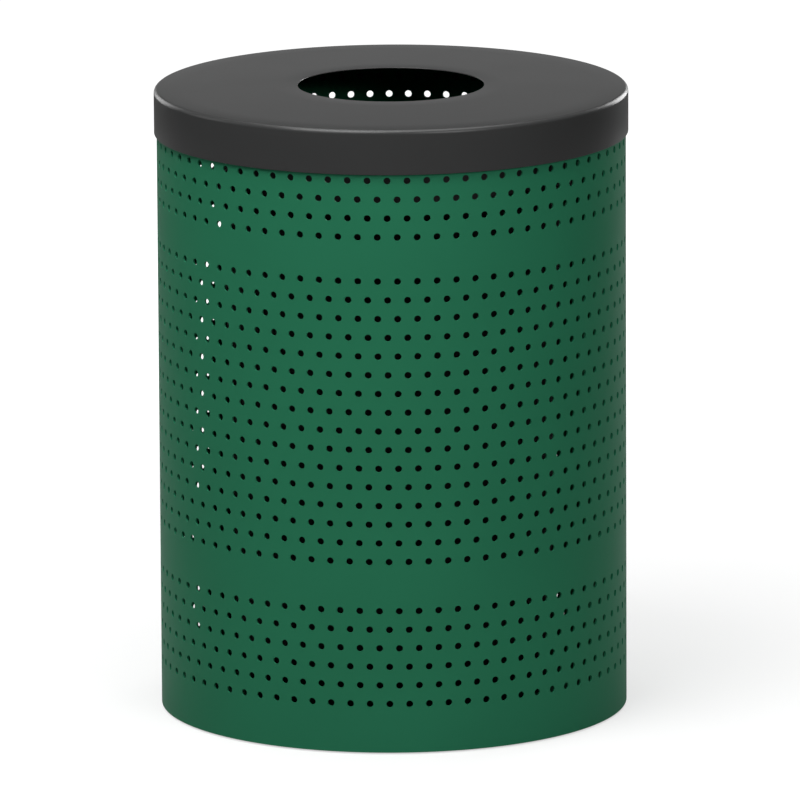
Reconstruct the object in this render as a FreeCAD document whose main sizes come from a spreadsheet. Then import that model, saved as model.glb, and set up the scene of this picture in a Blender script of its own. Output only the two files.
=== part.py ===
"""Round perforated trash receptacle with a flat slip-over lid, liner and levelling feet.

Millimetres, +Z up. The origin is on the floor at the middle of the can, and the front looks along -Y.
"""
import FreeCAD
import Part
import Sketcher
import os

from FreeCAD import Placement, Rotation, Vector

# Driving dimensions: alias, value and what it measures
DIMENSIONS = [
    ("body_diameter", "606.4", "outside of the rolled wall, across its corners"),
    ("wall_gauge", "1.2", "sheet of the wall"),
    ("wall_height", "808", "height of the rolled sheet"),
    ("floor_gap", "2", "floor to the lower edge of the wall, feet screwed in"),
    ("hole_diameter", "9", "punched holes"),
    ("hole_pitch", "25.4", "hole to hole round the wall"),
    ("hole_turn", "-1.08", "turn of the punched pattern from the front, degrees"),
    ("rear_turn", "-0.86", "turn of the rear sheet's pattern against the front sheet's, degrees"),
    ("row_pitch", "24.35", "row to row in a punched band"),
    ("bottom_margin", "64", "lower edge of the wall to the first row"),
    ("bottom_rows", "6", "rows in the bottom band"),
    ("lower_plain_step", "64.4", "last bottom row to first middle row"),
    ("middle_rows", "16", "rows in the middle band"),
    ("upper_plain_step", "57.1", "last middle row to first top row"),
    ("top_rows", "5", "rows in the top band, the last behind the skirt"),
    ("punch_overrun", "3", "how far the punch passes each face of the wall"),
    ("weld_gap", "0.3", "fit-up gap between the wall and what is welded inside it"),
    ("hoop_height", "25", "height of the flat bar hoops"),
    ("hoop_gauge", "4", "thickness of the flat bar hoops"),
    ("hoop_round", "1.5", "rounded edges of the flat bar"),
    ("hoop_rise", "1.8", "top hoop above the upper edge of the wall"),
    ("pan_gauge", "2", "sheet of the base pan"),
    ("pan_flange", "27", "height of the pan's upturned flange over its underside"),
    ("pan_bend", "5", "outer bend radius of the pan"),
    ("drain_diameter", "12", "drain holes"),
    ("drain_circle", "260", "circle of the drain holes"),
    ("drain_count", "6", "number of drain holes"),
    ("anchor_diameter", "14", "holes for anchor bolts"),
    ("anchor_circle", "500", "circle of the anchor holes"),
    ("anchor_count", "4", "number of anchor holes"),
    ("foot_count", "4", "number of levelling feet"),
    ("foot_circle", "500", "circle of the levelling feet"),
    ("foot_first_angle", "45", "first foot from +X, degrees"),
    ("foot_travel", "12", "how far a foot screws out"),
    ("pad_diameter", "40", "foot pad"),
    ("pad_height", "8", "foot pad"),
    ("pad_round", "3", "rounded upper edge of the foot pad"),
    ("socket_depth", "4", "socket of the stud in the pad"),
    ("stud_diameter", "10", "screw of the foot"),
    ("stud_spare", "4", "stud left above its nut when the foot is screwed out"),
    ("stud_clearance", "0.15", "radial clearance of the stud in its nut and pad"),
    ("stud_hole_clearance", "0.5", "radial clearance of the stud in the pan"),
    ("collar_flats", "17", "hexagon collar under the pan, across flats"),
    ("collar_height", "6", "hexagon collar"),
    ("nut_flats", "17", "weld nut on the pan, across flats"),
    ("nut_height", "8", "weld nut"),
    ("lid_gauge", "1.5", "sheet of the lid"),
    ("lid_clearance", "1.8", "radial clearance between skirt and wall"),
    ("skirt_depth", "61.6", "top of the lid to the lower edge of its skirt"),
    ("lid_bend", "6", "outer bend radius between top and skirt"),
    ("opening_diameter", "236.5", "round opening in the lid"),
    ("opening_round", "0.6", "rounded edges of the opening"),
    ("liner_height", "684", "liner"),
    ("liner_wall", "3", "wall of the liner"),
    ("liner_top_diameter", "444", "outside of the liner under its lip"),
    ("liner_foot_diameter", "410", "outside of the liner at its floor"),
    ("liner_corner", "24", "outer radius at the floor of the liner"),
    ("lip_reach", "12", "lip of the liner beyond its wall"),
    ("lip_drop", "16", "depth of the lip"),
    ("lip_round", "4", "outer radius of the lip"),
]

doc = FreeCAD.newDocument("receptacle")
dims = doc.addObject("Spreadsheet::Sheet", "Dims")
for row, (alias, value, meaning) in enumerate(DIMENSIONS, start=1):
    dims.set(f"A{row}", alias)
    dims.set(f"B{row}", value)
    dims.set(f"C{row}", meaning)
    dims.setAlias(f"B{row}", alias)
doc.recompute()

# Places that several pieces share, as expressions of the sheet
WALL_RADIUS = "(Dims.body_diameter / 2)"
HOLES_ROUND = "round(pi * Dims.body_diameter / Dims.hole_pitch)"
COLUMN_TURN = f"(180 / {HOLES_ROUND})"
FRONT_REACH = f"(floor({HOLES_ROUND} / 2) * {COLUMN_TURN})"
RIGHT_SEAM = f"({FRONT_REACH} + {COLUMN_TURN} + Dims.rear_turn / 2)"
LEFT_SEAM = f"({FRONT_REACH} + {COLUMN_TURN} / 2 - Dims.rear_turn / 2)"
BORE_RADIUS = f"(({WALL_RADIUS} - Dims.wall_gauge) * cos(90 / {HOLES_ROUND}))"
SEAT_RADIUS = f"({BORE_RADIUS} - Dims.weld_gap)"
WALL_TOP = "(Dims.floor_gap + Dims.wall_height)"
LID_SEAT = f"({WALL_TOP} + Dims.hoop_rise)"
LID_TOP = f"({LID_SEAT} + Dims.lid_gauge)"
LID_RADIUS = f"({WALL_RADIUS} + Dims.lid_clearance + Dims.lid_gauge)"
BOTTOM_ROW = "(Dims.floor_gap + Dims.bottom_margin)"
BOTTOM_LAST = f"({BOTTOM_ROW} + (Dims.bottom_rows - 1) * Dims.row_pitch)"
MIDDLE_ROW = f"({BOTTOM_LAST} + Dims.lower_plain_step)"
MIDDLE_LAST = f"({MIDDLE_ROW} + (Dims.middle_rows - 1) * Dims.row_pitch)"
TOP_ROW = f"({MIDDLE_LAST} + Dims.upper_plain_step)"
PAN_UNDERSIDE = "(Dims.pad_height + Dims.collar_height)"
PAN_FLOOR = f"({PAN_UNDERSIDE} + Dims.pan_gauge)"
LINER_RIM = f"({PAN_FLOOR} + Dims.liner_height)"


def number(expression):
    """The present value of an expression of the sheet."""
    return float(dims.evalExpression(expression))


def count(alias):
    """A whole number from the sheet."""
    return int(round(number(f"Dims.{alias}")))


def origin_feature(body, role):
    """A plane or an axis of a body's own origin."""
    return next(f for f in body.Origin.OriginFeatures if f.Role == role)


def new_body(label):
    """An empty body that is named for its piece."""
    body = doc.addObject("PartDesign::Body", label)
    body.Label = label
    return body


def new_sketch(body, name, role):
    """A sketch on one of the body's origin planes."""
    sketch = body.newObject("Sketcher::SketchObject", name)
    sketch.AttachmentSupport = [(origin_feature(body, role), "")]
    sketch.MapMode = "FlatFace"
    return sketch


def drive(sketch, kind, *places, expression):
    """A constraint whose value follows an expression."""
    index = sketch.addConstraint(Sketcher.Constraint(kind, *places, number(expression)))
    sketch.setExpression(f"Constraints[{index}]", expression)


def place_point(sketch, geometry, point, across, up):
    """Holds a point of a sketch at two expressions from the origin, or on an axis where one is None."""
    if across is None:
        sketch.addConstraint(Sketcher.Constraint("PointOnObject", geometry, point, -2))
    else:
        drive(sketch, "DistanceX", -1, 1, geometry, point, expression=across)
    if up is None:
        sketch.addConstraint(Sketcher.Constraint("PointOnObject", geometry, point, -1))
    else:
        drive(sketch, "DistanceY", -1, 1, geometry, point, expression=up)


def revolved(body, corners):
    """A solid of revolution about Z from the corners (radius, height) of its half section."""
    sketch = new_sketch(body, "section", "XZ_Plane")
    points = [Vector(number(x) if x else 0, number(z) if z else 0, 0) for x, z in corners]
    for start, end in zip(points, points[1:] + points[:1]):
        sketch.addGeometry(Part.LineSegment(start, end))
    for line, (across, up) in enumerate(corners):
        before = (line - 1) % len(corners)
        sketch.addConstraint(Sketcher.Constraint("Coincident", before, 2, line, 1))
        place_point(sketch, line, 1, across, up)
    turn = body.newObject("PartDesign::Revolution", "turned")
    turn.Profile = sketch
    turn.ReferenceAxis = (sketch, ["V_Axis"])
    turn.Angle = 360
    doc.recompute()
    return turn


def ring_edge(shape, radius, height):
    """The name of the circular edge about Z with this radius and height."""
    target = Vector(0, 0, number(height))
    for index, edge in enumerate(shape.Edges, start=1):
        curve = edge.Curve
        if not isinstance(curve, Part.Circle):
            continue
        if abs(curve.Radius - number(radius)) < 1e-4 and curve.Center.distanceToPoint(target) < 1e-4:
            return f"Edge{index}"
    raise ValueError(f"no edge at radius {radius} and height {height}")


def rounded(body, radius, height, bend):
    """Rounds the circular edge of a body at a radius and a height."""
    base = body.Tip
    fillet = body.newObject("PartDesign::Fillet", "bend")
    fillet.Base = (base, [ring_edge(base.Shape, radius, height)])
    fillet.setExpression("Radius", bend)
    doc.recompute()


def polar(body, feature, occurrences):
    """Repeats a feature round Z."""
    pattern = body.newObject("PartDesign::PolarPattern", "round")
    pattern.Originals = [feature]
    pattern.Axis = (origin_feature(body, "Z_Axis"), [""])
    pattern.Angle = 360
    pattern.setExpression("Occurrences", occurrences)
    body.Tip = pattern
    doc.recompute()


# Perforated wall: a rolled sheet drawn as flat strips half a hole pitch wide, one hole across each
def wall_strips(body, kind):
    """A prism with two strips for each hole round the wall, with a strip square to the front."""
    prism = body.newObject(f"PartDesign::{kind}Prism", kind.lower())
    prism.AttachmentSupport = [(origin_feature(body, "XY_Plane"), "")]
    prism.MapMode = "FlatFace"
    prism.AttachmentOffset = Placement(Vector(), Rotation(Vector(0, 0, 1), 1))
    prism.setExpression("AttachmentOffset.Base.z", "Dims.floor_gap")
    prism.setExpression("AttachmentOffset.Rotation.Angle", f"-90 - 90 / {HOLES_ROUND}")
    prism.setExpression("Polygon", f"2 * {HOLES_ROUND}")
    prism.setExpression("Height", "Dims.wall_height")
    return prism


def punched_rows(body, name, rows, turn):
    """Punches one hole in each row, turned from the front, and repeats them round the wall."""
    reach = f"({BORE_RADIUS} - Dims.punch_overrun)"
    sketch = new_sketch(body, name, "XZ_Plane")
    sketch.AttachmentOffset = Placement(Vector(), Rotation(Vector(0, 1, 0), 1))
    sketch.setExpression("AttachmentOffset.Rotation.Angle", turn)
    sketch.setExpression("AttachmentOffset.Base.x", f"{reach} * sin({turn})")
    sketch.setExpression("AttachmentOffset.Base.z", f"{reach} * cos({turn})")
    for index, height in enumerate(rows):
        middle = Vector(0, number(height), 0)
        sketch.addGeometry(Part.Circle(middle, Vector(0, 0, 1), number("Dims.hole_diameter") / 2))
        place_point(sketch, index, 3, None, height)
        if index:
            sketch.addConstraint(Sketcher.Constraint("Equal", 0, index))
        else:
            drive(sketch, "Diameter", index, expression="Dims.hole_diameter")
    punch = body.newObject("PartDesign::Pocket", "punch")
    punch.Profile = sketch
    punch.Reversed = True
    punch.setExpression("Length", f"{WALL_RADIUS} - {reach} + Dims.punch_overrun")
    doc.recompute()
    polar(body, punch, HOLES_ROUND)


def band_rows(first, rows, start):
    """The heights of every second row of a band, from its row number start."""
    return [f"{first} + {row} * Dims.row_pitch" for row in range(start, count(rows), 2)]


def perforated_wall():
    """The whole rolled wall with its three punched bands. The top band starts with a staggered row."""
    body = new_body("perforated_wall")
    outside = wall_strips(body, "Additive")
    outside.setExpression("Circumradius", WALL_RADIUS)
    doc.recompute()
    inside = wall_strips(body, "Subtractive")
    inside.setExpression("Circumradius", f"{WALL_RADIUS} - Dims.wall_gauge")
    doc.recompute()
    straight = band_rows(BOTTOM_ROW, "bottom_rows", 0)
    straight += band_rows(MIDDLE_ROW, "middle_rows", 0)
    straight += band_rows(TOP_ROW, "top_rows", 1)
    staggered = band_rows(BOTTOM_ROW, "bottom_rows", 1)
    staggered += band_rows(MIDDLE_ROW, "middle_rows", 1)
    staggered += band_rows(TOP_ROW, "top_rows", 0)
    punched_rows(body, "straight_rows", straight, "0")
    punched_rows(body, "staggered_rows", staggered, f"180 / {HOLES_ROUND}")
    body.setExpression("Placement.Rotation.Angle", "Dims.hole_turn")
    return body


def turned_wall(wall):
    """The same wall again, turned to where the rear sheet's columns of holes stand."""
    again = doc.addObject("App::Link", "rear_pattern")
    again.LinkedObject = wall
    again.LinkTransform = True
    again.setExpression("Placement.Rotation.Angle", "Dims.rear_turn")
    return again


def wall_sheet(label, wall, start, sweep):
    """One half of the wall, between two upright butt welds that run between columns of holes."""
    half = doc.addObject("Part::Cylinder", f"{label}_half")
    half.setExpression("Angle", sweep)
    half.setExpression("Radius", f"{WALL_RADIUS} + Dims.punch_overrun")
    half.setExpression("Height", f"{WALL_TOP} + Dims.punch_overrun")
    half.setExpression("Placement.Rotation.Angle", f"Dims.hole_turn - 90 + {start}")
    sheet = doc.addObject("Part::Common", label)
    sheet.Base = wall
    sheet.Tool = half
    sheet.Label = label
    return sheet


# Hoops: flat bar rings welded inside the wall
def hoop(label, top):
    """A flat bar ring against the inside of the wall, with its upper edge at a height."""
    body = new_body(label)
    inner = f"({SEAT_RADIUS} - Dims.hoop_gauge)"
    low = f"({top} - Dims.hoop_height)"
    corners = [(inner, low), (SEAT_RADIUS, low), (SEAT_RADIUS, top), (inner, top)]
    revolved(body, corners)
    for radius, height in corners:
        rounded(body, radius, height, "Dims.hoop_round")
    return body


# Base pan: a pressed floor with an upturned flange that is welded inside the plain lower margin
def drilled(body, name, circle, diameter, angle, occurrences):
    """A ring of holes down through the pan's floor."""
    sketch = new_sketch(body, name, "XY_Plane")
    sketch.setExpression("AttachmentOffset.Base.z", PAN_FLOOR)
    across = f"Dims.{circle} / 2 * cos({angle})"
    up = f"Dims.{circle} / 2 * sin({angle})"
    middle = Vector(number(across), number(up), 0)
    sketch.addGeometry(Part.Circle(middle, Vector(0, 0, 1), number(diameter) / 2))
    on_axis = abs(number(up)) < 1e-9
    place_point(sketch, 0, 3, across, None if on_axis else up)
    drive(sketch, "Diameter", 0, expression=diameter)
    hole = body.newObject("PartDesign::Pocket", f"{name}_cut")
    hole.Profile = sketch
    hole.Type = "ThroughAll"
    doc.recompute()
    polar(body, hole, occurrences)


def base_pan():
    """The floor of the can, on the collars of the feet."""
    body = new_body("base_pan")
    inner = f"({SEAT_RADIUS} - Dims.pan_gauge)"
    brim = f"({PAN_UNDERSIDE} + Dims.pan_flange)"
    corners = [(None, PAN_UNDERSIDE), (SEAT_RADIUS, PAN_UNDERSIDE), (SEAT_RADIUS, brim)]
    corners += [(inner, brim), (inner, PAN_FLOOR), (None, PAN_FLOOR)]
    revolved(body, corners)
    rounded(body, SEAT_RADIUS, PAN_UNDERSIDE, "Dims.pan_bend")
    rounded(body, inner, PAN_FLOOR, "Dims.pan_bend - Dims.pan_gauge")
    drilled(body, "drains", "drain_circle", "Dims.drain_diameter", "0", "Dims.drain_count")
    drilled(body, "anchors", "anchor_circle", "Dims.anchor_diameter", "0", "Dims.anchor_count")
    stud_hole = "Dims.stud_diameter + 2 * Dims.stud_hole_clearance"
    drilled(body, "stud_holes", "foot_circle", stud_hole, "Dims.foot_first_angle", "Dims.foot_count")
    return body


# Levelling feet: a stud with a hexagon collar, seated in a round pad, screwed into a weld nut on the pan
def foot_angle(index):
    """Where a foot stands round the can, as an expression in degrees."""
    return f"(Dims.foot_first_angle + {index} * 360 / Dims.foot_count)"


def move_to_foot(piece, index, height):
    """Puts a piece on the axis of a foot with its own base at a height."""
    piece.setExpression("Placement.Base.x", f"Dims.foot_circle / 2 * cos({foot_angle(index)})")
    piece.setExpression("Placement.Base.y", f"Dims.foot_circle / 2 * sin({foot_angle(index)})")
    piece.setExpression("Placement.Base.z", height)


def hexagon(name, index, flats, height, base):
    """A hexagon prism on the axis of a foot."""
    prism = doc.addObject("Part::Prism", f"{name}_{index + 1}")
    prism.Polygon = 6
    prism.setExpression("Circumradius", f"{flats} / 2 / cos(30)")
    prism.setExpression("Height", height)
    move_to_foot(prism, index, base)
    return prism


def bar(name, index, radius, height, base):
    """A round bar on the axis of a foot."""
    cylinder = doc.addObject("Part::Cylinder", f"{name}_{index + 1}")
    cylinder.setExpression("Radius", radius)
    cylinder.setExpression("Height", height)
    move_to_foot(cylinder, index, base)
    return cylinder


def foot_stud(index):
    """The screw of a foot, from the floor of its pad's socket to above its nut, fused with its collar."""
    base = "(Dims.pad_height - Dims.socket_depth)"
    top = f"({PAN_FLOOR} + Dims.nut_height + Dims.foot_travel + Dims.stud_spare)"
    stud = doc.addObject("Part::Fuse", f"foot_stud_{index + 1}")
    stud.Base = bar("screw", index, "Dims.stud_diameter / 2", f"{top} - {base}", base)
    stud.Tool = hexagon("collar", index, "Dims.collar_flats", "Dims.collar_height", "Dims.pad_height")
    stud.Label = f"foot_stud_{index + 1}"
    return stud


def foot_pad(index):
    """The round pad of a foot, with a socket for the stud."""
    body = new_body(f"foot_pad_{index + 1}")
    rim = "Dims.pad_diameter / 2"
    socket = "(Dims.stud_diameter / 2 + Dims.stud_clearance)"
    floor = "(Dims.pad_height - Dims.socket_depth)"
    corners = [(None, None), (rim, None), (rim, "Dims.pad_height"), (socket, "Dims.pad_height")]
    corners += [(socket, floor), (None, floor)]
    revolved(body, corners)
    rounded(body, rim, "Dims.pad_height", "Dims.pad_round")
    move_to_foot(body, index, "0")
    return body


def weld_nut(index):
    """A hexagon nut on the floor of the pan."""
    nut = doc.addObject("Part::Cut", f"weld_nut_{index + 1}")
    nut.Base = hexagon("nut", index, "Dims.nut_flats", "Dims.nut_height", PAN_FLOOR)
    bore = "Dims.stud_diameter / 2 + Dims.stud_clearance"
    nut.Tool = bar("nut_bore", index, bore, "Dims.nut_height", PAN_FLOOR)
    return nut


def foot_weld_nuts():
    """The nuts of all the feet, as one group."""
    group = doc.addObject("Part::Compound", "foot_weld_nuts")
    group.Links = [weld_nut(index) for index in range(count("foot_count"))]
    group.Label = "foot_weld_nuts"
    return group


# Lid: one pressed sheet that lies on the top hoop, with a skirt outside the wall
def lid():
    """The flat lid with its skirt, its bend and its opening, whose cut edge is rounded off."""
    body = new_body("lid")
    inside = f"({LID_RADIUS} - Dims.lid_gauge)"
    skirt = f"({LID_TOP} - Dims.skirt_depth)"
    mouth = "(Dims.opening_diameter / 2)"
    corners = [(mouth, LID_SEAT), (inside, LID_SEAT), (inside, skirt)]
    corners += [(LID_RADIUS, skirt), (LID_RADIUS, LID_TOP), (mouth, LID_TOP)]
    revolved(body, corners)
    rounded(body, LID_RADIUS, LID_TOP, "Dims.lid_bend")
    rounded(body, inside, LID_SEAT, "Dims.lid_bend - Dims.lid_gauge")
    rounded(body, mouth, LID_TOP, "Dims.opening_round")
    rounded(body, mouth, LID_SEAT, "Dims.opening_round")
    return body


# Liner: a tapered tub that stands on the pan, with a turned-over lip to lift it by
def liner():
    """The moulded tub, rounded at its floor and its lip."""
    body = new_body("liner")
    top = "(Dims.liner_top_diameter / 2)"
    foot = "(Dims.liner_foot_diameter / 2)"
    lip = f"({top} + Dims.lip_reach)"
    inner_top = f"({top} - Dims.liner_wall)"
    inner_foot = f"({foot} - Dims.liner_wall)"
    inner_floor = f"({PAN_FLOOR} + Dims.liner_wall)"
    under_lip = f"({LINER_RIM} - Dims.liner_wall)"
    lip_edge = f"({LINER_RIM} - Dims.lip_drop)"
    lip_inside = f"({lip} - Dims.liner_wall)"
    corners = [(None, PAN_FLOOR), (foot, PAN_FLOOR), (top, under_lip), (lip_inside, under_lip)]
    corners += [(lip_inside, lip_edge), (lip, lip_edge), (lip, LINER_RIM), (inner_top, LINER_RIM)]
    corners += [(inner_foot, inner_floor), (None, inner_floor)]
    revolved(body, corners)
    rounded(body, foot, PAN_FLOOR, "Dims.liner_corner")
    rounded(body, inner_foot, inner_floor, "Dims.liner_corner - Dims.liner_wall")
    rounded(body, lip, LINER_RIM, "Dims.lip_round")
    return body


wall = perforated_wall()
pieces = [
    wall_sheet("front_wall_sheet", wall, f"-{LEFT_SEAM}", f"{LEFT_SEAM} + {RIGHT_SEAM}"),
    wall_sheet("rear_wall_sheet", turned_wall(wall), RIGHT_SEAM, f"360 - {LEFT_SEAM} - {RIGHT_SEAM}"),
    hoop("top_hoop", LID_SEAT),
    hoop("upper_band_hoop", f"({MIDDLE_LAST} + Dims.upper_plain_step / 2 + Dims.hoop_height / 2)"),
    hoop("lower_band_hoop", f"({BOTTOM_LAST} + Dims.lower_plain_step / 2 + Dims.hoop_height / 2)"),
    base_pan(),
    foot_weld_nuts(),
    lid(),
    liner(),
]
for foot in range(count("foot_count")):
    pieces.append(foot_stud(foot))
    pieces.append(foot_pad(foot))
doc.recompute()

# Every object and every piece is sound before anything is written
for item in doc.Objects:
    if "Invalid" in item.State or "Error" in item.State:
        raise RuntimeError(f"{item.Name} did not recompute: {item.State}")
for piece in pieces:
    if piece.Shape.isNull() or not piece.Shape.isValid() or not piece.Shape.Solids:
        raise RuntimeError(f"{piece.Label} has no valid solid")

os.makedirs("parts", exist_ok=True)
for piece in pieces:
    piece.Shape.exportStep(f"parts/{piece.Label}.step")
    box = piece.Shape.BoundBox
    print(f"{piece.Label}: {len(piece.Shape.Solids)} solids, {piece.Shape.Volume:.0f} mm3,"
          f" z {box.ZMin:.2f} to {box.ZMax:.2f}")
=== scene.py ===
import math

import bmesh
import bpy
from bpy.props import FloatProperty, FloatVectorProperty, IntProperty, PointerProperty
from mathutils import Matrix, Vector


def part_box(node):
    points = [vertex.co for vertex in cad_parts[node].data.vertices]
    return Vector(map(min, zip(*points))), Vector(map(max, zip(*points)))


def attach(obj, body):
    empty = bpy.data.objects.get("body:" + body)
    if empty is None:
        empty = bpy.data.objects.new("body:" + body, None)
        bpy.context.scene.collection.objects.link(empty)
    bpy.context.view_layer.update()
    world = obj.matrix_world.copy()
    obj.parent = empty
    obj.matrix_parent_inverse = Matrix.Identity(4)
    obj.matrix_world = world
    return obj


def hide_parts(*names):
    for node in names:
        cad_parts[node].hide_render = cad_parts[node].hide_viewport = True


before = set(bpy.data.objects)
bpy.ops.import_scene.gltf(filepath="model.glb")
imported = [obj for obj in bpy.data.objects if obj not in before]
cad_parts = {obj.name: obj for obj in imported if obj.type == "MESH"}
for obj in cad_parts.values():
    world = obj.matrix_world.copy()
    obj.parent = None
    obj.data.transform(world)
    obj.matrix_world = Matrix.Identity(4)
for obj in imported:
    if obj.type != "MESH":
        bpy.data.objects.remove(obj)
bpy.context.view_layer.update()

bl_info = {
    "name": "Perforated trash receptacle",
    "version": (1, 0, 0),
    "blender": (4, 5, 0),
    "location": "View3D > Sidebar > Receptacle",
    "description": "Builds the looks of a round perforated trash receptacle round its CAD frame",
    "category": "Object",
}

MM = 0.001
# Points closer than this count as one
TINY = 0.01 * MM
FULL_TURN = 2 * math.pi


def reach(node):
    """How far a CAD node reaches from the axis of the can."""
    return max(math.hypot(v.co.x, v.co.y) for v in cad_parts[node].data.vertices)


def low(node):
    """The height of a CAD node's lowest point."""
    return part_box(node)[0].z


def high(node):
    """The height of a CAD node's highest point."""
    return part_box(node)[1].z


# Settings that a user would change


def length(name, description, default):
    """A size in metres."""
    return FloatProperty(name=name, description=description, default=default, unit="LENGTH", precision=4)


def colour(name, description, default):
    """A linear colour."""
    return FloatVectorProperty(name=name, description=description, default=default, subtype="COLOR",
                               min=0, max=1)


def angle(name, description, degrees):
    """A turn, given in degrees and kept in radians."""
    return FloatProperty(name=name, description=description, default=math.radians(degrees), subtype="ANGLE")


class WallSettings(bpy.types.PropertyGroup):
    radius: length("Radius", "Outside of the rolled wall", reach("front_wall_sheet"))
    bottom: length("Bottom", "Height of the lower edge", low("front_wall_sheet"))
    top: length("Top", "Height of the upper edge", high("front_wall_sheet"))
    gauge: length("Gauge", "Sheet as drawn, thicker than the solid's to let less light through", 2.4 * MM)
    hole: length("Hole", "Diameter of the punched holes", 9 * MM)
    holes_round: IntProperty(name="Holes round", description="Holes in one row, an odd number", default=75)
    hole_turn: angle("Hole turn", "Turn of the punched pattern from the front", -1.08)
    rear_turn: angle("Rear turn", "Turn of the rear sheet's pattern against the front sheet's", -0.86)
    row_pitch: length("Row pitch", "Row to row in a punched band", 24.35 * MM)
    bottom_row: length("Bottom row", "Height of the first row of the bottom band", 66 * MM)
    bottom_rows: IntProperty(name="Bottom rows", description="Rows in the bottom band", default=6)
    middle_row: length("Middle row", "Height of the first row of the middle band", 252.15 * MM)
    middle_rows: IntProperty(name="Middle rows", description="Rows in the middle band", default=16)
    top_row: length("Top row", "Height of the first row of the top band", 674.5 * MM)
    top_rows: IntProperty(name="Top rows", description="Rows in the top band", default=5)
    paint: colour("Paint", "Green powder coat", (0.0203, 0.1645, 0.0835))


class InsideSettings(bpy.types.PropertyGroup):
    hoop_gauge: length("Hoop gauge", "Thickness of the flat bar hoops", 4 * MM)
    hoop_round: length("Hoop round", "Rounded edges of the flat bar", 1.5 * MM)
    pan_gauge: length("Pan gauge", "Sheet of the base pan", 2 * MM)
    pan_bend: length("Pan bend", "Outer bend radius of the base pan", 5 * MM)
    drain: length("Drain", "Diameter of the drain holes", 12 * MM)
    drain_circle: length("Drain circle", "Circle of the drain holes", 260 * MM)
    drains: IntProperty(name="Drains", description="Number of drain holes", default=6)
    anchor: length("Anchor", "Diameter of the anchor holes", 14 * MM)
    anchor_circle: length("Anchor circle", "Circle of the anchor holes", 500 * MM)
    anchors: IntProperty(name="Anchors", description="Number of anchor holes", default=4)
    stud_hole: length("Stud hole", "Diameter of the holes for the feet", 11 * MM)


class LidSettings(bpy.types.PropertyGroup):
    gauge: length("Gauge", "Sheet of the lid", 1.5 * MM)
    crown: length("Crown", "How far the pressed top rises to its middle", 3.2 * MM)
    skirt_trim: length("Skirt trim", "How far the skirt ends above the solid's skirt", 4 * MM)
    bend: length("Bend", "Outer bend radius between top and skirt", 6 * MM)
    opening: length("Opening", "Diameter of the round opening", 241 * MM)
    opening_round: length("Opening round", "Rounded edges of the opening", 0.7 * MM)
    edge_round: length("Edge round", "Rounded lower edge of the skirt", 0.4 * MM)
    paint: colour("Paint", "Charcoal powder coat", (0.0349, 0.0353, 0.0353))


class LinerSettings(bpy.types.PropertyGroup):
    wall: length("Wall", "Wall of the liner", 3 * MM)
    top: length("Top", "Outside of the liner under its lip", 444 * MM)
    foot: length("Foot", "Outside of the liner at its floor", 410 * MM)
    corner: length("Corner", "Outer radius at the floor", 24 * MM)
    lip_drop: length("Lip drop", "Depth of the lip", 16 * MM)
    lip_round: length("Lip round", "Outer radius of the lip", 4 * MM)
    plastic: colour("Plastic", "Black polyethylene", (0.006, 0.006, 0.0065))


class FootSettings(bpy.types.PropertyGroup):
    circle: length("Circle", "Circle of the feet", 500 * MM)
    first: angle("First foot", "Where the first foot stands, from +X", 45)
    count: IntProperty(name="Feet", description="Number of feet", default=4)
    stud: length("Stud", "Diameter of the screw", 10 * MM)
    thread: length("Thread", "Pitch of the screw thread", 1.5 * MM)
    flats: length("Flats", "Hexagons of collar and nut, across flats", 17 * MM)
    collar: length("Collar", "Height of the hexagon collar", 6 * MM)
    nut: length("Nut", "Height of the weld nut", 8 * MM)
    tip: length("Tip", "Turned-off end of the screw", 1 * MM)
    pad_round: length("Pad round", "Rounded upper edge of the pad", 3 * MM)
    pad_edge: length("Pad edge", "Rounded lower edge and socket of the pad", 0.5 * MM)
    plate: colour("Plate", "Bright zinc plate", (0.5, 0.51, 0.53))
    pad: colour("Pad", "Black nylon", (0.012, 0.012, 0.012))


class StageSettings(bpy.types.PropertyGroup):
    lens: FloatProperty(name="Lens", description="Focal length in mm", default=533.24)
    sensor: FloatProperty(name="Sensor", description="Width of the sensor in mm", default=36)
    distance: length("Distance", "Camera to its aim", 15.3865)
    aim: length("Aim", "Height of the aim on the axis of the can", 0.3991)
    elevation: angle("Elevation", "Camera over the horizon", 12.052)
    roll: angle("Roll", "Roll of the camera", -0.307)
    pan: angle("Pan", "Camera turned to the right of its aim", 0.0362)
    floor: colour("Floor", "Pale floor", (0.38, 0.38, 0.38))
    floor_radius: length("Floor radius", "How far the floor reaches", 30)
    glow: FloatProperty(name="Glow", description="How bright the floor shines at the can", default=0.57)
    glow_start: length("Glow start", "Where the floor starts to brighten outwards", 0.8)
    glow_end: length("Glow end", "Where the floor is fully bright", 3.0)


# Modelling by hand: selection, profiles and modifiers

# Steps round a turned piece, and in each rounded corner of its half section
ROUND_STEPS = 192
CORNER_STEPS = 6


def begin():
    """Object mode with nothing selected."""
    if bpy.context.mode != "OBJECT":
        bpy.ops.object.mode_set(mode="OBJECT")
    bpy.ops.object.select_all(action="DESELECT")


def take(*objects):
    """Selects only these objects, the last one active."""
    begin()
    for item in objects:
        item.select_set(True)
    bpy.context.view_layer.objects.active = objects[-1]
    return objects[-1]


def pick(test, domain="verts"):
    """In edit mode, selects only the vertices, edges or faces that pass a test."""
    mode = {"verts": "VERT", "edges": "EDGE", "faces": "FACE"}[domain]
    bpy.ops.mesh.select_mode(type=mode)
    bpy.ops.mesh.select_all(action="DESELECT")
    mesh = bmesh.from_edit_mesh(bpy.context.edit_object.data)
    for item in getattr(mesh, domain):
        if test(item):
            item.select_set(True)
    mesh.select_flush_mode()
    bmesh.update_edit_mesh(bpy.context.edit_object.data)


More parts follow.
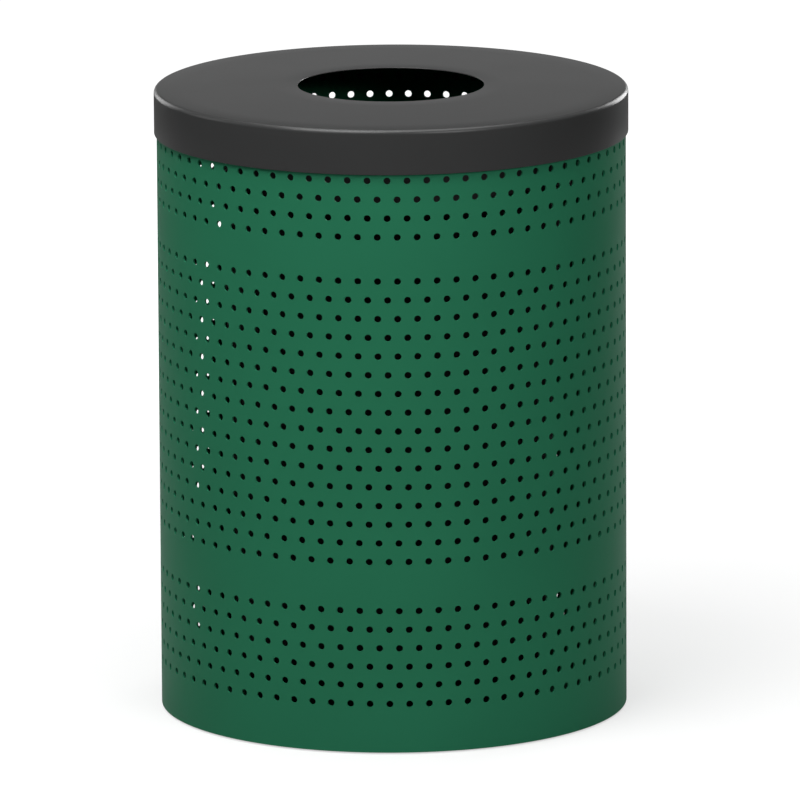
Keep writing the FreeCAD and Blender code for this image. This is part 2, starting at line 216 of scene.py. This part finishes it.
def modify(piece, kind, **values):
    """Adds a modifier with these values and applies it."""
    take(piece)
    modifier = piece.modifiers.new(kind.title(), kind)
    for name, value in values.items():
        setattr(modifier, name, value)
    bpy.ops.object.modifier_apply(modifier=modifier.name)


def place(piece, location=(0, 0, 0), turn=0.0):
    """Moves and turns a piece about Z, and puts its place into its mesh."""
    take(piece)
    piece.location = location
    piece.rotation_euler = (0, 0, turn)
    bpy.ops.object.transform_apply(location=True, rotation=True, scale=True)


def smooth(piece, degrees=35):
    """Smooth shading, apart from edges sharper than this."""
    take(piece)
    bpy.ops.object.shade_smooth_by_angle(angle=math.radians(degrees))


def finish_piece(piece, name, material, body, slot, *nodes):
    """Names a piece, gives it its finish and hangs it on its CAD body in place of its CAD nodes."""
    piece.name = name
    piece.data.name = name
    piece.data.materials.clear()
    piece.data.materials.append(material)
    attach(piece, body)
    if nodes:
        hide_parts(*nodes)
    return piece


def copy_of(piece):
    """A copy of a piece with a mesh of its own."""
    take(piece)
    bpy.ops.object.duplicate(linked=False)
    return bpy.context.view_layer.objects.active


def lone_vertex():
    """A new piece in edit mode, with one vertex at the origin, selected."""
    begin()
    bpy.ops.mesh.primitive_plane_add(size=MM, location=(0, 0, 0))
    bpy.ops.object.mode_set(mode="EDIT")
    bpy.ops.mesh.select_mode(type="VERT")
    bpy.ops.mesh.select_all(action="SELECT")
    bpy.ops.mesh.merge(type="CENTER")
    return bpy.context.edit_object


def half_section(corners, closed):
    """Extrudes a vertex through corners (radius, height, rounding) and rounds them."""
    piece = lone_vertex()
    points = [Vector((radius, 0, height)) for radius, height, _ in corners]
    bpy.ops.transform.translate(value=points[0])
    for start, end in zip(points, points[1:]):
        bpy.ops.mesh.extrude_region_move(TRANSFORM_OT_translate={"value": end - start})
    if closed:
        bpy.ops.mesh.select_all(action="SELECT")
        bpy.ops.mesh.edge_face_add()
        bpy.ops.mesh.delete(type="ONLY_FACE")
    for index, (_, _, rounding) in enumerate(corners):
        if rounding:
            before = (points[index - 1] - points[index]).normalized()
            after = (points[(index + 1) % len(points)] - points[index]).normalized()
            reach_back = rounding / math.tan(before.angle(after) / 2)
            pick(lambda v: (v.co - points[index]).length < TINY)
            bpy.ops.mesh.bevel(offset_type="ABSOLUTE", offset=reach_back, segments=CORNER_STEPS,
                               affect="VERTICES")
    return piece


def lathe(corners, closed=False, steps=ROUND_STEPS):
    """Spins a half section about Z."""
    piece = half_section(corners, closed)
    bpy.ops.mesh.select_all(action="SELECT")
    bpy.ops.mesh.spin(steps=steps, angle=FULL_TURN, center=(0, 0, 0), axis=(0, 0, 1))
    bpy.ops.mesh.select_all(action="SELECT")
    bpy.ops.mesh.remove_doubles(threshold=TINY / 2)
    bpy.ops.mesh.normals_make_consistent(inside=False)
    bpy.ops.object.mode_set(mode="OBJECT")
    return piece


# Finishes

# How a coat varies over a piece: its tone, its roughness to either side, the depth of its skin and its grain
TONE_SPREAD = 0.07
SMOOTHER, ROUGHER = 0.05, 0.1
SKIN_DEPTH = 0.2 * MM
GRAIN_SHARE = 0.35


def shader(name):
    """A new material, its node tree and its Principled shader."""
    material = bpy.data.materials.new(name)
    material.use_nodes = True
    tree = material.node_tree
    tree.nodes.clear()
    output = tree.nodes.new("ShaderNodeOutputMaterial")
    surface = tree.nodes.new("ShaderNodeBsdfPrincipled")
    tree.links.new(surface.outputs["BSDF"], output.inputs["Surface"])
    return material, tree, surface


def node(tree, kind, **values):
    """A node of a tree with its settings and unlinked inputs."""
    item = tree.nodes.new(kind)
    for name, value in values.items():
        if name in item.inputs:
            item.inputs[name].default_value = value
        else:
            setattr(item, name, value)
    return item


def coated_skin():
    """The skin of baked powder: orange peel, fine grain and a faint unevenness of tone."""
    group = bpy.data.node_groups.new("coated_skin", "ShaderNodeTree")
    for name, default in (("Peel Scale", 300.0), ("Grain Scale", 1500.0), ("Tone Scale", 6.0)):
        socket = group.interface.new_socket(name, in_out="INPUT", socket_type="NodeSocketFloat")
        socket.default_value = default
    for name in ("Height", "Tone", "Gloss"):
        group.interface.new_socket(name, in_out="OUTPUT", socket_type="NodeSocketFloat")
    given = group.nodes.new("NodeGroupInput")
    result = group.nodes.new("NodeGroupOutput")
    place_on = group.nodes.new("ShaderNodeTexCoord")
    noises = {}
    for name, detail in (("Peel Scale", 2.0), ("Grain Scale", 1.0), ("Tone Scale", 3.0)):
        noise = node(group, "ShaderNodeTexNoise", Detail=detail, Roughness=0.5)
        group.links.new(place_on.outputs["Object"], noise.inputs["Vector"])
        group.links.new(given.outputs[name], noise.inputs["Scale"])
        noises[name] = noise.outputs["Fac"]
    height = node(group, "ShaderNodeMath", operation="MULTIPLY_ADD")
    height.inputs[1].default_value = GRAIN_SHARE
    group.links.new(noises["Grain Scale"], height.inputs[0])
    group.links.new(noises["Peel Scale"], height.inputs[2])
    gloss = node(group, "ShaderNodeMath", operation="MULTIPLY")
    group.links.new(noises["Grain Scale"], gloss.inputs[0])
    group.links.new(noises["Tone Scale"], gloss.inputs[1])
    group.links.new(height.outputs[0], result.inputs["Height"])
    group.links.new(noises["Tone Scale"], result.inputs["Tone"])
    group.links.new(gloss.outputs[0], result.inputs["Gloss"])
    return group


def coated(name, paint, roughness, bump, scales):
    """A powder-coated finish: its tone, gloss and skin vary a little over the surface."""
    material, tree, surface = shader(name)
    skin = tree.nodes.new("ShaderNodeGroup")
    skin.node_tree = bpy.data.node_groups.get("coated_skin") or coated_skin()
    for socket, value in scales.items():
        skin.inputs[socket].default_value = value
    tone = node(tree, "ShaderNodeMix", data_type="RGBA")
    tone.inputs["A"].default_value = (*(c * (1 - TONE_SPREAD) for c in paint), 1)
    tone.inputs["B"].default_value = (*(min(1, c * (1 + TONE_SPREAD)) for c in paint), 1)
    tree.links.new(skin.outputs["Tone"], tone.inputs["Factor"])
    gloss = node(tree, "ShaderNodeMapRange")
    gloss.inputs["To Min"].default_value = roughness - SMOOTHER
    gloss.inputs["To Max"].default_value = roughness + ROUGHER
    tree.links.new(skin.outputs["Gloss"], gloss.inputs["Value"])
    relief = node(tree, "ShaderNodeBump", Strength=bump, Distance=SKIN_DEPTH)
    tree.links.new(skin.outputs["Height"], relief.inputs["Height"])
    tree.links.new(tone.outputs["Result"], surface.inputs["Base Color"])
    tree.links.new(gloss.outputs["Result"], surface.inputs["Roughness"])
    tree.links.new(relief.outputs["Normal"], surface.inputs["Normal"])
    return material, surface


def finish(name):
    """A finish that an operator has made before, or None."""
    return bpy.data.materials.get(name)


def green_coat():
    """Satin green powder coat."""
    if not finish("baked_green_coat"):
        paint = bpy.context.scene.receptacle_wall.paint
        _, surface = coated("baked_green_coat", paint, 0.41, 0.1, {"Peel Scale": 260.0})
        surface.inputs["Specular IOR Level"].default_value = 0.06
    return finish("baked_green_coat")


def charcoal_coat():
    """Fine satin charcoal powder coat."""
    if not finish("baked_charcoal_coat"):
        paint = bpy.context.scene.receptacle_lid.paint
        _, surface = coated("baked_charcoal_coat", paint, 0.31, 0.08, {"Peel Scale": 420.0})
        surface.inputs["Specular IOR Level"].default_value = 0.25
    return finish("baked_charcoal_coat")


def black_plastic(name, tint, grain):
    """Matt moulded plastic with a fine cast grain."""
    material, _ = coated(name, tint, 0.55, 0.2, {"Peel Scale": grain, "Tone Scale": 9.0})
    return material


def zinc_plate():
    """Bright zinc on steel, with cloudy patches."""
    tint = bpy.context.scene.receptacle_feet.plate
    material, surface = coated("zinc_plate", tint, 0.3, 0.05, {"Peel Scale": 900.0, "Tone Scale": 120.0})
    surface.inputs["Metallic"].default_value = 1.0
    return material


# The perforated wall

# Cuts in each side and in each end of a punched cell, and the corners of its hole that they lead to
SIDE_CUTS, END_CUTS = 5, 1
HOLE_CORNERS = 2 * (SIDE_CUTS + 1) + 2 * (END_CUTS + 1)


def plain_heights(rows, other_rows, pitch, bottom, top):
    """The stretches of a column without holes, each with the heights that its neighbours' cells need."""
    ends = [bottom] + [edge for row in rows for edge in (row - pitch, row + pitch)] + [top]
    half = (SIDE_CUTS + 1) // 2
    steps = [row + part * pitch / half for row in other_rows for part in range(-half, half + 1)]
    stretches = []
    for start, end in zip(ends[0::2], ends[1::2]):
        if end - start > TINY:
            between = {round(step, 7) for step in steps if start + TINY < step < end - TINY}
            stretches.append([start, *sorted(between), end])
    return stretches


def punched_cell(width, height, hole):
    """In edit mode, one flat cell of the sheet with a round hole in its middle, at the origin."""
    bpy.ops.mesh.primitive_plane_add(size=1)
    bpy.ops.transform.resize(value=(width, height, 1))
    bpy.ops.mesh.delete(type="ONLY_FACE")
    for cuts, upright in ((SIDE_CUTS, True), (END_CUTS, False)):
        pick(lambda e: (abs(e.verts[0].co.x - e.verts[1].co.x) < TINY) == upright, "edges")
        bpy.ops.mesh.subdivide(number_cuts=cuts)
    bpy.ops.mesh.primitive_circle_add(vertices=HOLE_CORNERS, radius=hole / 2)
    bpy.ops.mesh.select_all(action="SELECT")
    bpy.ops.mesh.select_mode(type="EDGE")
    bpy.ops.mesh.bridge_edge_loops()


def column(wall, rows, other_rows):
    """A flat strip of the wall with one hole across, punched at these rows."""
    width = math.pi * wall.radius / wall.holes_round
    begin()
    bpy.ops.mesh.primitive_plane_add(size=MM)
    bpy.ops.object.mode_set(mode="EDIT")
    bpy.ops.mesh.delete(type="VERT")
    punched_cell(width, 2 * wall.row_pitch, wall.hole)
    bpy.ops.mesh.select_all(action="SELECT")
    bpy.ops.transform.translate(value=(0, rows[0], 0))
    for before, row in zip(rows, rows[1:]):
        bpy.ops.mesh.duplicate_move(TRANSFORM_OT_translate={"value": (0, row - before, 0)})
    for heights in plain_heights(rows, other_rows, wall.row_pitch, wall.bottom, wall.top):
        if heights[0] == wall.bottom:
            heights.reverse()
        pick(lambda e: all(abs(v.co.y - heights[0]) < TINY for v in e.verts), "edges")
        for start, end in zip(heights, heights[1:]):
            bpy.ops.mesh.extrude_region_move(TRANSFORM_OT_translate={"value": (0, end - start, 0)})
    bpy.ops.mesh.select_all(action="SELECT")
    bpy.ops.mesh.remove_doubles(threshold=TINY)
    bpy.ops.object.mode_set(mode="OBJECT")
    return bpy.context.view_layer.objects.active


def wall_rows(wall):
    """The heights of the straight rows and of the staggered rows. The top band starts staggered."""
    straight, staggered = [], []
    bands = ((wall.bottom_row, wall.bottom_rows, 0), (wall.middle_row, wall.middle_rows, 0))
    for first, rows, start in (*bands, (wall.top_row, wall.top_rows, 1)):
        for row in range(rows):
            kind = staggered if (row + start) % 2 else straight
            kind.append(first + row * wall.row_pitch)
    return straight, staggered


def wall_sheet(wall, left, right, middle_rows, side_rows, margins, turn):
    """One sheet of the wall: columns laid out flat, given their gauge and rolled round the can."""
    width = math.pi * wall.radius / wall.holes_round
    strips = []
    for rows, others, parity in ((middle_rows, side_rows, 0), (side_rows, middle_rows, 1)):
        places = [index for index in range(-left, right + 1) if index % 2 == parity]
        strip = column(wall, rows, others)
        modify(strip, "ARRAY", use_relative_offset=False, use_constant_offset=True,
               constant_offset_displace=(2 * width, 0, 0), count=len(places))
        place(strip, (places[0] * width, 0, 0))
        strips.append(strip)
    sheet = take(*strips)
    bpy.ops.object.join()
    bpy.ops.object.mode_set(mode="EDIT")
    bpy.ops.mesh.select_all(action="SELECT")
    bpy.ops.mesh.remove_doubles(threshold=TINY)
    ends = ((-left - 0.5) * width, (right + 0.5) * width)
    for end, margin in zip(ends, (-margins[0], margins[1])):
        pick(lambda e: all(abs(v.co.x - end) < TINY for v in e.verts), "edges")
        bpy.ops.mesh.extrude_region_move(TRANSFORM_OT_translate={"value": (margin * wall.radius, 0, 0)})
    bpy.ops.mesh.select_all(action="SELECT")
    bpy.ops.mesh.normals_make_consistent(inside=False)
    bpy.ops.object.mode_set(mode="OBJECT")
    middle = (sum(ends) / wall.radius + margins[1] - margins[0]) / 2
    sweep = (ends[1] - ends[0]) / wall.radius + sum(margins)
    place(sheet, (-middle * wall.radius, 0, 0))
    sheet.rotation_euler = (math.pi / 2, 0, 0)
    bpy.ops.object.transform_apply(rotation=True)
    modify(sheet, "SOLIDIFY", thickness=wall.gauge, offset=-1)
    modify(sheet, "SIMPLE_DEFORM", deform_method="BEND", deform_axis="Z", angle=sweep)
    place(sheet, (0, -wall.radius, 0))
    place(sheet, turn=turn + middle)
    smooth(sheet)
    return sheet


class RECEPTACLE_OT_wall(bpy.types.Operator):
    """The two sheets of the perforated wall, meeting edge to edge at each side, where the butt weld is
    ground flush and not drawn
    """

    bl_idname = "receptacle.wall"
    bl_label = "Perforated wall"

    def execute(self, context):
        wall = context.scene.receptacle_wall
        straight, staggered = wall_rows(wall)
        reach_each_way = wall.holes_round // 2
        column_turn = math.pi / wall.holes_round
        left_margin, right_margin = -wall.rear_turn / 2, (column_turn + wall.rear_turn) / 2
        front = wall_sheet(wall, reach_each_way, reach_each_way, straight, staggered,
                           (left_margin, right_margin), wall.hole_turn)
        finish_piece(front, "front_wall", green_coat(), "can", "green_powder_coat", "front_wall_sheet")
        rear = wall_sheet(wall, reach_each_way - 1, reach_each_way, staggered, straight,
                          (right_margin, left_margin), math.pi + wall.hole_turn + wall.rear_turn)
        finish_piece(rear, "rear_wall", green_coat(), "can", "green_powder_coat", "rear_wall_sheet")
        return {"FINISHED"}


# Pieces inside the wall, the lid and the liner

# The drill reaches through the pan. Its corners, the lid's steps round and the rings of the lid's crown
DRILL_DEPTH = 10 * MM
DRILL_CORNERS = 32
LID_STEPS = 256
CROWN_RINGS = 6


class RECEPTACLE_OT_hoops(bpy.types.Operator):
    """The flat bar hoops inside the wall"""

    bl_idname = "receptacle.hoops"
    bl_label = "Hoops"

    def execute(self, context):
        inside = context.scene.receptacle_inside
        for name in ("top_hoop", "upper_band_hoop", "lower_band_hoop"):
            outer = reach(name)
            inner = outer - inside.hoop_gauge
            corners = [(inner, low(name)), (outer, low(name)), (outer, high(name)), (inner, high(name))]
            ring = lathe([(r, z, inside.hoop_round) for r, z in corners], closed=True)
            smooth(ring)
            finish_piece(ring, name + "_bar", green_coat(), "can", "green_powder_coat", name)
        return {"FINISHED"}


class RECEPTACLE_OT_base_pan(bpy.types.Operator):
    """The floor of the can with its drain, anchor and stud holes"""

    bl_idname = "receptacle.base_pan"
    bl_label = "Base pan"

    def execute(self, context):
        inside = context.scene.receptacle_inside
        feet = context.scene.receptacle_feet
        bottom, brim, rim = low("base_pan"), high("base_pan"), reach("base_pan")
        pan = lathe([(0, bottom, 0), (rim, bottom, inside.pan_bend), (rim, brim, 0)])
        modify(pan, "SOLIDIFY", thickness=inside.pan_gauge, offset=-1, use_even_offset=True)
        rings = (
            (inside.drains, inside.drain_circle, inside.drain, 0),
            (inside.anchors, inside.anchor_circle, inside.anchor, 0),
            (feet.count, feet.circle, inside.stud_hole, feet.first),
        )
        for count, circle, diameter, first in rings:
            for index in range(count):
                turn = first + index * FULL_TURN / count
                middle = (circle / 2 * math.cos(turn), circle / 2 * math.sin(turn), bottom)
                begin()
                bpy.ops.mesh.primitive_cylinder_add(vertices=DRILL_CORNERS, radius=diameter / 2,
                                                    depth=DRILL_DEPTH, location=middle)
                drill = bpy.context.view_layer.objects.active
                modify(pan, "BOOLEAN", operation="DIFFERENCE", object=drill, solver="EXACT")
                bpy.data.objects.remove(drill)
        smooth(pan)
        finish_piece(pan, "base_pan_pressing", green_coat(), "can", "green_powder_coat", "base_pan")
        return {"FINISHED"}


class RECEPTACLE_OT_lid(bpy.types.Operator):
    """The slightly crowned lid with its skirt and its round opening"""

    bl_idname = "receptacle.lid"
    bl_label = "Lid"

    def execute(self, context):
        lid = context.scene.receptacle_lid
        top, skirt, rim = high("lid"), low("lid") + lid.skirt_trim, reach("lid")
        mouth, inside, seat = lid.opening / 2, rim - lid.gauge, top - lid.gauge
        rings = [mouth + part * (rim - lid.bend - mouth) / CROWN_RINGS for part in range(CROWN_RINGS + 1)]
        crowns = [(ring, lid.crown * (1 - (ring / rings[-1]) ** 2), lid.opening_round * (ring == mouth))
                  for ring in rings[:-1]]
        under = [(ring, seat + rise, rounding) for ring, rise, rounding in crowns]
        over = [(ring, top + rise, rounding) for ring, rise, rounding in reversed(crowns)]
        corners = [
            *under,
            (inside, seat, lid.bend - lid.gauge),
            (inside, skirt, lid.edge_round),
            (rim, skirt, lid.edge_round),
            (rim, top, lid.bend),
            *over,
        ]
        cover = lathe(corners, closed=True, steps=LID_STEPS)
        smooth(cover)
        finish_piece(cover, "lid_pressing", charcoal_coat(), "lid", "charcoal_powder_coat", "lid")
        return {"FINISHED"}


class RECEPTACLE_OT_liner(bpy.types.Operator):
    """The moulded tub with its turned-over lip"""

    bl_idname = "receptacle.liner"
    bl_label = "Liner"

    def execute(self, context):
        liner = context.scene.receptacle_liner
        bottom, rim, lip = low("liner"), high("liner"), reach("liner")
        floor = bottom + liner.wall
        corners = [
            (0, floor, 0),
            (liner.foot / 2 - liner.wall, floor, liner.corner - liner.wall),
            (liner.top / 2 - liner.wall, rim, liner.lip_round),
            (lip, rim, liner.lip_round),
            (lip, rim - liner.lip_drop, 0),
        ]
        tub = lathe(corners)
        modify(tub, "SOLIDIFY", thickness=liner.wall, offset=1, use_even_offset=True)
        smooth(tub)
        material = black_plastic("black_polyethylene", liner.plastic, 350.0)
        finish_piece(tub, "liner_tub", material, "liner", "black_liner", "liner")
        return {"FINISHED"}


# Levelling feet

# Shares of a hexagon's height, and of a thread's pitch. Steps round a screw and a pad
HEXAGON_BEVEL = 0.08
THREAD_DEPTH, THREAD_FLANK, THREAD_CREST = 0.6, 0.44, 0.12
SCREW_STEPS, PAD_STEPS = 24, 48


def hexagon(flats, bottom, top):
    """A hexagon prism on the Z axis with its corners turned off."""
    begin()
    depth = top - bottom
    bpy.ops.mesh.primitive_cylinder_add(vertices=6, radius=flats / 2 / math.cos(math.pi / 6), depth=depth,
                                        location=(0, 0, (bottom + top) / 2))
    block = bpy.context.view_layer.objects.active
    bpy.ops.object.transform_apply(location=True)
    bpy.ops.object.mode_set(mode="EDIT")
    pick(lambda e: abs(e.verts[0].co.z - e.verts[1].co.z) < TINY, "edges")
    bpy.ops.mesh.bevel(offset=HEXAGON_BEVEL * depth, segments=2, affect="EDGES")
    bpy.ops.object.mode_set(mode="OBJECT")
    return block


def screw(diameter, pitch, bottom, top, tip):
    """A threaded rod on the Z axis with a turned-off tip."""
    turns = int((top - bottom) / pitch) - 1
    crest, root = diameter / 2, diameter / 2 - THREAD_DEPTH * pitch
    thread = lone_vertex()
    bpy.ops.transform.translate(value=(root, 0, bottom))
    for across, up in ((crest - root, THREAD_FLANK), (0, THREAD_CREST), (root - crest, THREAD_FLANK)):
        bpy.ops.mesh.extrude_region_move(TRANSFORM_OT_translate={"value": (across, 0, up * pitch)})
    bpy.ops.object.mode_set(mode="OBJECT")
    modify(thread, "SCREW", screw_offset=pitch, iterations=turns, steps=SCREW_STEPS,
           render_steps=SCREW_STEPS, use_merge_vertices=True)
    shoulder = (root, top - tip, 0)
    core = lathe([(0, bottom, 0), (root, bottom, 0), shoulder, (root - tip, top, 0), (0, top, 0)],
                 steps=SCREW_STEPS)
    rod = take(thread, core)
    bpy.ops.object.join()
    return rod


class RECEPTACLE_OT_feet(bpy.types.Operator):
    """The levelling feet: screws with their collars, pads and weld nuts"""

    bl_idname = "receptacle.feet"
    bl_label = "Levelling feet"

    def execute(self, context):
        feet = context.scene.receptacle_feet
        pad_top = high("foot_pad_1")
        pan_floor = low("foot_weld_nuts")
        pad_radius = (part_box("foot_pad_1")[1].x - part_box("foot_pad_1")[0].x) / 2
        rod = screw(feet.stud, feet.thread, low("foot_stud_1"), high("foot_stud_1"), feet.tip)
        stud = take(rod, hexagon(feet.flats, pad_top, pad_top + feet.collar))
        bpy.ops.object.join()
        smooth(stud)
        socket = feet.stud / 2
        corners = [
            (0, low("foot_stud_1"), 0),
            (socket, low("foot_stud_1"), 0),
            (socket, pad_top, feet.pad_edge),
            (pad_radius, pad_top, feet.pad_round),
            (pad_radius, 0, feet.pad_edge),
            (0, 0, 0),
        ]
        pad = lathe(corners, steps=PAD_STEPS)
        smooth(pad)
        nut = hexagon(feet.flats, pan_floor, pan_floor + feet.nut)
        smooth(nut)
        zinc, nylon = zinc_plate(), black_plastic("black_nylon", feet.pad, 700.0)
        models = ((stud, "stud", zinc, "zinc_steel"), (pad, "pad", nylon, "black_foot"))
        nuts = []
        for index in range(feet.count):
            turn = feet.first + index * FULL_TURN / feet.count
            spot = (feet.circle / 2 * math.cos(turn), feet.circle / 2 * math.sin(turn), 0)
            foot = f"foot_{index + 1}"
            for model, name, material, slot in models:
                piece = copy_of(model)
                place(piece, spot)
                mark = f"{name}_{index + 1}"
                finish_piece(piece, f"levelling_{mark}", material, foot, slot, f"foot_{mark}")
            nuts.append(copy_of(nut))
            place(nuts[-1], spot)
        group = take(*nuts)
        bpy.ops.object.join()
        finish_piece(group, "weld_nuts", zinc, "can", "zinc_steel", "foot_weld_nuts")
        for model in (stud, pad, nut):
            bpy.data.objects.remove(model)
        return {"FINISHED"}


# Stage: floor, light and camera


FLOOR_CORNERS = 96
LAMP_AIM = Vector((0, 0, 0.4))
# Name, degrees to the right of the front, degrees up, distance in metres, width and height in metres, watts
SOFTBOXES = (
    ("overhead_softbox", 0, 90, 2.8, 2.4, 2.4, 65),
    ("high_left_softbox", -35, 62, 3.2, 1.8, 1.8, 78.8),
    ("front_left_softbox", -35, 32, 4, 1.6, 1.6, 13.3),
    ("front_right_softbox", 30, 32, 4, 1.6, 1.6, 46.1),
    ("left_softbox", -100, 25, 3.6, 1.2, 1.6, 8.1),
    ("rear_softbox", 180, 10, 4, 4, 1.4, 5.6),
    ("rear_left_softbox", -145, 15, 3.6, 1.4, 1.6, 17.3),
    ("rear_right_softbox", 145, 15, 3.6, 1.4, 1.6, 41.6),
)


def softbox(name, across, up, distance, width, height, power):
    """An area light on a sphere round the can that faces its middle. The camera doesn't see it."""
    across, up = math.radians(across), math.radians(up)
    away = Vector((math.cos(up) * math.sin(across), -math.cos(up) * math.cos(across), math.sin(up)))
    turned = (-away).to_track_quat("-Z", "Y").to_euler()
    begin()
    bpy.ops.object.light_add(type="AREA", location=LAMP_AIM + away * distance, rotation=turned)
    lamp = bpy.context.view_layer.objects.active
    lamp.name = name
    lamp.visible_camera = False
    lamp.data.shape = "RECTANGLE"
    lamp.data.size, lamp.data.size_y = width, height
    lamp.data.energy = power


def floor_finish(stage):
    """A pale matt floor that the camera sees as bright as a lit sweep, evened out away from the lamps."""
    material, tree, surface = shader("pale_floor")
    surface.inputs["Base Color"].default_value = (*stage.floor, 1)
    surface.inputs["Roughness"].default_value = 0.9
    surface.inputs["Specular IOR Level"].default_value = 0.0
    surface.inputs["Emission Color"].default_value = (1, 1, 1, 1)
    place_on = tree.nodes.new("ShaderNodeTexCoord")
    out = node(tree, "ShaderNodeVectorMath", operation="LENGTH")
    tree.links.new(place_on.outputs["Object"], out.inputs[0])
    pool = node(tree, "ShaderNodeMapRange", interpolation_type="SMOOTHSTEP")
    pool.inputs["From Min"].default_value = stage.glow_start
    pool.inputs["From Max"].default_value = stage.glow_end
    pool.inputs["To Min"].default_value = stage.glow
    tree.links.new(out.outputs["Value"], pool.inputs["Value"])
    path = tree.nodes.new("ShaderNodeLightPath")
    lift = node(tree, "ShaderNodeMath", operation="MULTIPLY")
    tree.links.new(pool.outputs["Result"], lift.inputs[0])
    tree.links.new(path.outputs["Is Camera Ray"], lift.inputs[1])
    tree.links.new(lift.outputs[0], surface.inputs["Emission Strength"])
    return material


def studio_world():
    """Surroundings that the camera sees as white and that give no light of their own."""
    world = bpy.data.worlds.new("studio")
    world.use_nodes = True
    tree = world.node_tree
    background = tree.nodes["Background"]
    background.inputs["Color"].default_value = (1, 1, 1, 1)
    path = tree.nodes.new("ShaderNodeLightPath")
    tree.links.new(path.outputs["Is Camera Ray"], background.inputs["Strength"])
    return world


class RECEPTACLE_OT_stage(bpy.types.Operator):
    """The pale floor, the soft studio light and the camera"""

    bl_idname = "receptacle.stage"
    bl_label = "Stage"

    def execute(self, context):
        stage = context.scene.receptacle_stage
        begin()
        bpy.ops.mesh.primitive_circle_add(vertices=FLOOR_CORNERS, radius=stage.floor_radius,
                                          fill_type="NGON")
        floor = bpy.context.view_layer.objects.active
        floor.name = "floor"
        floor.data.materials.append(floor_finish(stage))
        context.scene.world = studio_world()
        for lamp in SOFTBOXES:
            softbox(*lamp)
        context.scene.view_settings.view_transform = "Standard"
        up = math.pi / 2 - stage.elevation
        turned = (Matrix.Rotation(-stage.pan, 3, "Z") @ Matrix.Rotation(up, 3, "X")
                  @ Matrix.Rotation(stage.roll, 3, "Z"))
        back = Vector((0, -math.cos(stage.elevation), math.sin(stage.elevation)))
        stand = Vector((0, 0, stage.aim)) + back * stage.distance
        bpy.ops.object.camera_add(location=stand, rotation=turned.to_euler())
        camera = bpy.context.view_layer.objects.active
        camera.data.sensor_width = stage.sensor
        camera.data.lens = stage.lens
        camera.data.clip_end = stage.distance + 2 * stage.floor_radius
        context.scene.camera = camera
        return {"FINISHED"}


class RECEPTACLE_PT_sidebar(bpy.types.Panel):
    """Lists the pieces of the receptacle and their settings"""

    bl_label = "Receptacle"
    bl_idname = "RECEPTACLE_PT_sidebar"
    bl_space_type = "VIEW_3D"
    bl_region_type = "UI"
    bl_category = "Receptacle"

    def draw(self, context):
        for operator in OPERATORS:
            self.layout.operator(operator.bl_idname)
        for group in SETTINGS:
            box = self.layout.box()
            settings = getattr(context.scene, group)
            for name in settings.__annotations__:
                box.prop(settings, name)


OPERATORS = (
    RECEPTACLE_OT_wall,
    RECEPTACLE_OT_hoops,
    RECEPTACLE_OT_base_pan,
    RECEPTACLE_OT_lid,
    RECEPTACLE_OT_liner,
    RECEPTACLE_OT_feet,
    RECEPTACLE_OT_stage,
)
SETTINGS = {
    "receptacle_wall": WallSettings,
    "receptacle_inside": InsideSettings,
    "receptacle_lid": LidSettings,
    "receptacle_liner": LinerSettings,
    "receptacle_feet": FootSettings,
    "receptacle_stage": StageSettings,
}


def register():
    for kind in (*SETTINGS.values(), *OPERATORS, RECEPTACLE_PT_sidebar):
        bpy.utils.register_class(kind)
    for name, kind in SETTINGS.items():
        setattr(bpy.types.Scene, name, PointerProperty(type=kind))


def unregister():
    for name in SETTINGS:
        delattr(bpy.types.Scene, name)
    for kind in (RECEPTACLE_PT_sidebar, *reversed(OPERATORS), *SETTINGS.values()):
        bpy.utils.unregister_class(kind)


def main():
    register()
    bpy.ops.receptacle.wall()
    bpy.ops.receptacle.hoops()
    bpy.ops.receptacle.base_pan()
    bpy.ops.receptacle.lid()
    bpy.ops.receptacle.liner()
    bpy.ops.receptacle.feet()
    bpy.ops.receptacle.stage()


if __name__ == "__main__":
    main()
